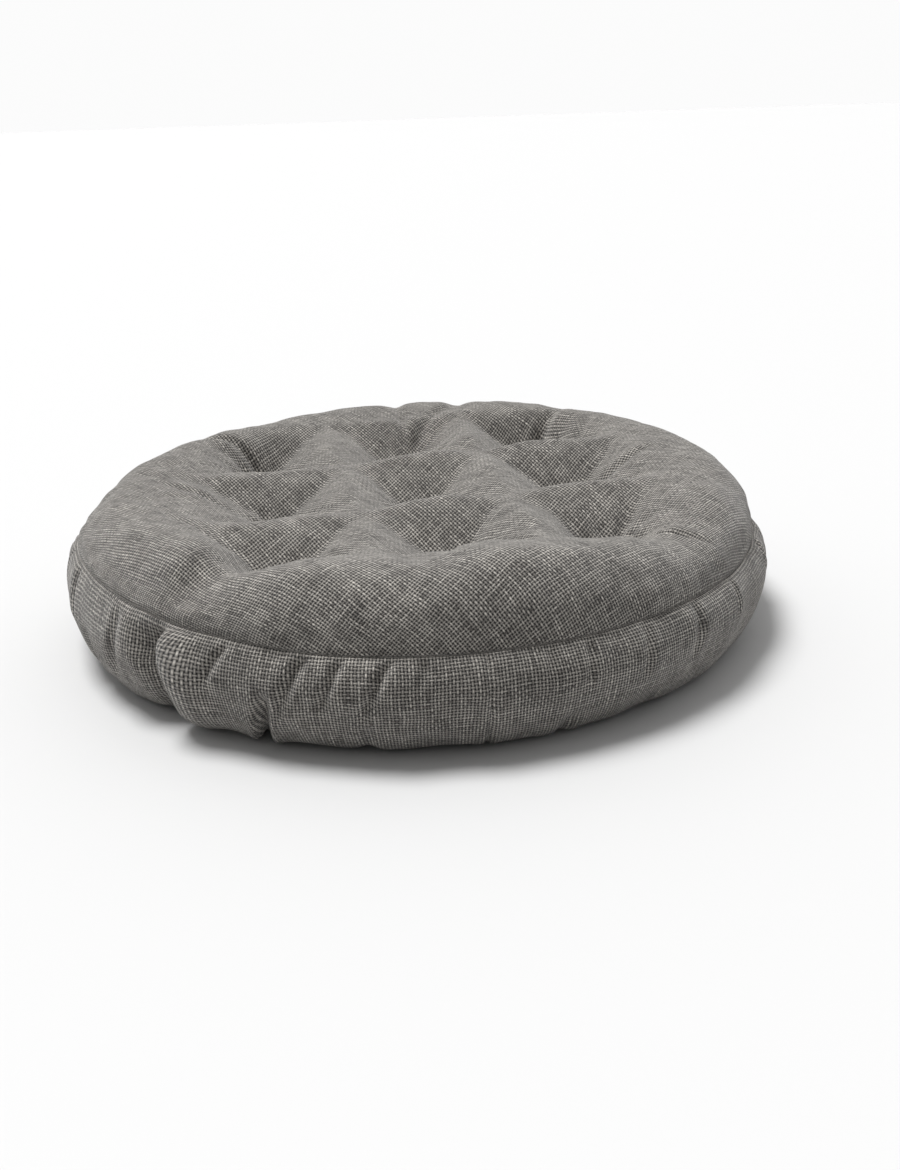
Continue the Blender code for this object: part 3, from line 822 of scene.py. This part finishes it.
def tube(path, radii, sides=7):
    """A round skin on a path of points: its points, faces and cut places."""
    path = np.asarray(path)
    way = np.gradient(path, axis=0)
    way /= np.linalg.norm(way, axis=1)[:, None]
    helper = np.where(np.abs(way[:, 2:3]) < 0.7, [[0, 0, 1]], [[1, 0, 0]])
    side = np.cross(way, helper)
    side /= np.linalg.norm(side, axis=1)[:, None]
    lift = np.cross(side, way)
    run = np.concatenate([[0], np.cumsum(np.linalg.norm(np.diff(path, axis=0), axis=1))])
    turn = np.arange(sides) * 2 * math.pi / sides
    skin = (path[:, None] + np.asarray(radii)[:, None, None]
            * (side[:, None] * np.cos(turn)[:, None] + lift[:, None] * np.sin(turn)[:, None]))
    places = np.stack(np.meshgrid(run, turn, indexing="ij"), axis=-1)
    index = np.arange(len(path) * sides).reshape(len(path), sides)
    quads = np.stack([index[:-1], np.roll(index[:-1], -1, 1), np.roll(index[1:], -1, 1), index[1:]], -1)
    return skin.reshape(-1, 3), quads.reshape(-1, 4), places.reshape(-1, 2)


def stitched(name, path, closed, node):
    """A run of stitches along a path, each a little fuller in its middle."""
    path = np.vstack([path, path[:1]]) if closed else path
    run = np.concatenate([[0], np.cumsum(np.linalg.norm(np.diff(path, axis=0), axis=1))])
    count = max(int(run[-1] / STITCH), 1)
    even = np.linspace(0, run[-1], count * STITCH_POINTS + 1)
    even_path = np.stack([np.interp(even, run, path[:, k]) for k in range(3)], axis=1)
    swell = np.abs(np.sin(np.arange(len(even)) * math.pi / STITCH_POINTS))
    skin, quads, places = tube(even_path, (0.16 + 0.26 * swell) * MM)
    piece = make_mesh(name, skin, quads)
    with_cut(piece, places)
    finish_piece(piece, skin, sewing_thread, node, slot="sewing_thread")


sewing_thread = spun_material("polyester_sewing_thread", "#55524F", "#A8A39C", 1.1 * MM, 0.6)
stitched("upper_seam_stitches", top_points[:AROUND], True, "upper_seam_thread")
stitched("lower_seam_stitches", base_ring, True, "lower_seam_thread")
JOIN_DEPTH = 3.2 * MM
join_path = strip[2:-2, 0].copy()
join_path[:, :2] *= 1 - JOIN_DEPTH / np.hypot(join_path[:, 0], join_path[:, 1])[:, None]
stitched("join_stitches", join_path, False, "band_join_thread")

# ---- Tufting twine -------------------------------------------------------------------
# Nine loops of two-ply twine through the whole pad. Each crosses the cloth in a short bar
# at the bottom of its pit, goes down through the fibre and is closed under the pad. The
# plies show as slanting painted highlight and painted shade, on a thicker and rougher yarn than the
# thread.
twine = spun_material("tufting_twine", "#6E6A65", "#BDB8AF", 1.6 * MM, 0.75)
PLY = 0.44 * MM                     # radius of one ply
LAY = 3.4 * MM                      # length in which the plies turn once
half_width, corner = 3 * MM, 1.6 * MM
for name, (middle, low, high) in tufts.items():
    top_z, low_z = TUFT_TOP_Z + 0.6 * MM, low + 0.9 * MM
    corners = [(half_width, top_z), (-half_width, top_z), (-half_width, low_z), (half_width, low_z)]
    loop = []
    for k, (across, up) in enumerate(corners):
        in_x, in_z = -np.sign(across) * corner, (-corner if up == top_z else corner)
        for t in np.linspace(0, math.pi / 2, 5):
            quarter = t + k * math.pi / 2
            loop.append((across + in_x + corner * math.cos(quarter),
                         up + in_z + corner * math.sin(quarter)))
    loop = np.array(loop + loop[:1])
    run = np.concatenate([[0], np.cumsum(np.linalg.norm(np.diff(loop, axis=0), axis=1))])
    even = np.linspace(0, run[-1], int(run[-1] / (0.6 * MM)))
    across, up = (np.interp(even, run, loop[:, k]) for k in (0, 1))
    centre_line = np.stack(
        [middle[0] + row_way[0] * across, middle[1] + row_way[1] * across, up], axis=1)
    turns = round(run[-1] / LAY) * 2 * math.pi * even / run[-1]
    way = np.gradient(centre_line, axis=0)
    way /= np.linalg.norm(way, axis=1)[:, None]
    beside = np.array([-row_way[1], row_way[0], 0.0])
    above = np.cross(way, beside)
    skins, all_quads, all_places, count = [], [], [], 0
    for start in (0, math.pi):
        strand = centre_line + PLY * (
            np.cos(turns + start)[:, None] * beside + np.sin(turns + start)[:, None] * above)
        skin, quads, places = tube(strand, np.full(len(strand), PLY))
        skins.append(skin)
        all_quads.append(quads + count)
        all_places.append(places)
        count += len(skin)
    skin = np.vstack(skins)
    piece = make_mesh(name.replace("tuft_stitch", "twine"), skin, np.vstack(all_quads))
    with_cut(piece, np.vstack(all_places))
    finish_piece(piece, skin, twine, name, slot="tufting_twine")

# ---- Floor, light and camera ---------------------------------------------------------
# A wide pale floor, one broad soft lamp overhead, a little behind and to the left, and
# an even sky that is brighter behind the pad than in front of it.
floor = make_mesh("floor", [(-30, -30, 0), (30, -30, 0), (30, 30, 0), (-30, 30, 0)], [(0, 1, 2, 3)])
floor.location.z = -0.3 * MM
pale = bpy.data.materials.new("pale_floor")
pale.use_nodes = True
pale.node_tree.nodes["Principled BSDF"].inputs["Base Color"].default_value = colour("#D6D6D6")
pale.node_tree.nodes["Principled BSDF"].inputs["Roughness"].default_value = 0.8
floor.data.materials.append(pale)

# A wide lamp face gives soft shadows.
lamp = bpy.data.lights.new("soft_overhead", "SUN")
lamp.angle = math.radians(25)
lamp.energy = 3.0
overhead = bpy.data.objects.new("soft_overhead", lamp)
overhead.rotation_euler = Vector((0.28, -0.25, -1)).to_track_quat("-Z", "Y").to_euler()
bpy.context.collection.objects.link(overhead)
world = bpy.data.worlds.new("studio")
world.use_nodes = True
sky = world.node_tree
facing = add_node(sky, "SeparateXYZ", add_node(sky, "TexCoord").outputs["Generated"]).outputs[1]
glow = add_node(sky, "MapRange", facing, -0.7, 0.75, 0.16, 0.97, interpolation_type="SMOOTHSTEP")
sky.links.new(glow.outputs[0], sky.nodes["Background"].inputs["Strength"])
sky.nodes["Background"].inputs["Color"].default_value = (1, 1, 1, 1)
bpy.context.scene.world = world
bpy.context.scene.view_settings.view_transform = "Standard"

CAMERA_DISTANCE = 0.702
CAMERA_ELEVATION = math.radians(18.6)
CAMERA_ROLL = math.radians(1.97)
camera = bpy.data.cameras.new("camera")
camera.sensor_fit = "HORIZONTAL"
camera.sensor_width = 36
camera.lens = 48
viewer = bpy.data.objects.new("camera", camera)
place = Vector((0, -CAMERA_DISTANCE * math.cos(CAMERA_ELEVATION),
                SEAM_Z + CAMERA_DISTANCE * math.sin(CAMERA_ELEVATION)))
aim = Vector((0.018, 0, SEAM_Z - 0.042))
look = (aim - place).to_track_quat("-Z", "Y").to_matrix().to_4x4()
viewer.matrix_world = Matrix.Translation(place) @ look @ Matrix.Rotation(-CAMERA_ROLL, 4, "Z")
bpy.context.collection.objects.link(viewer)
bpy.context.scene.camera = viewer
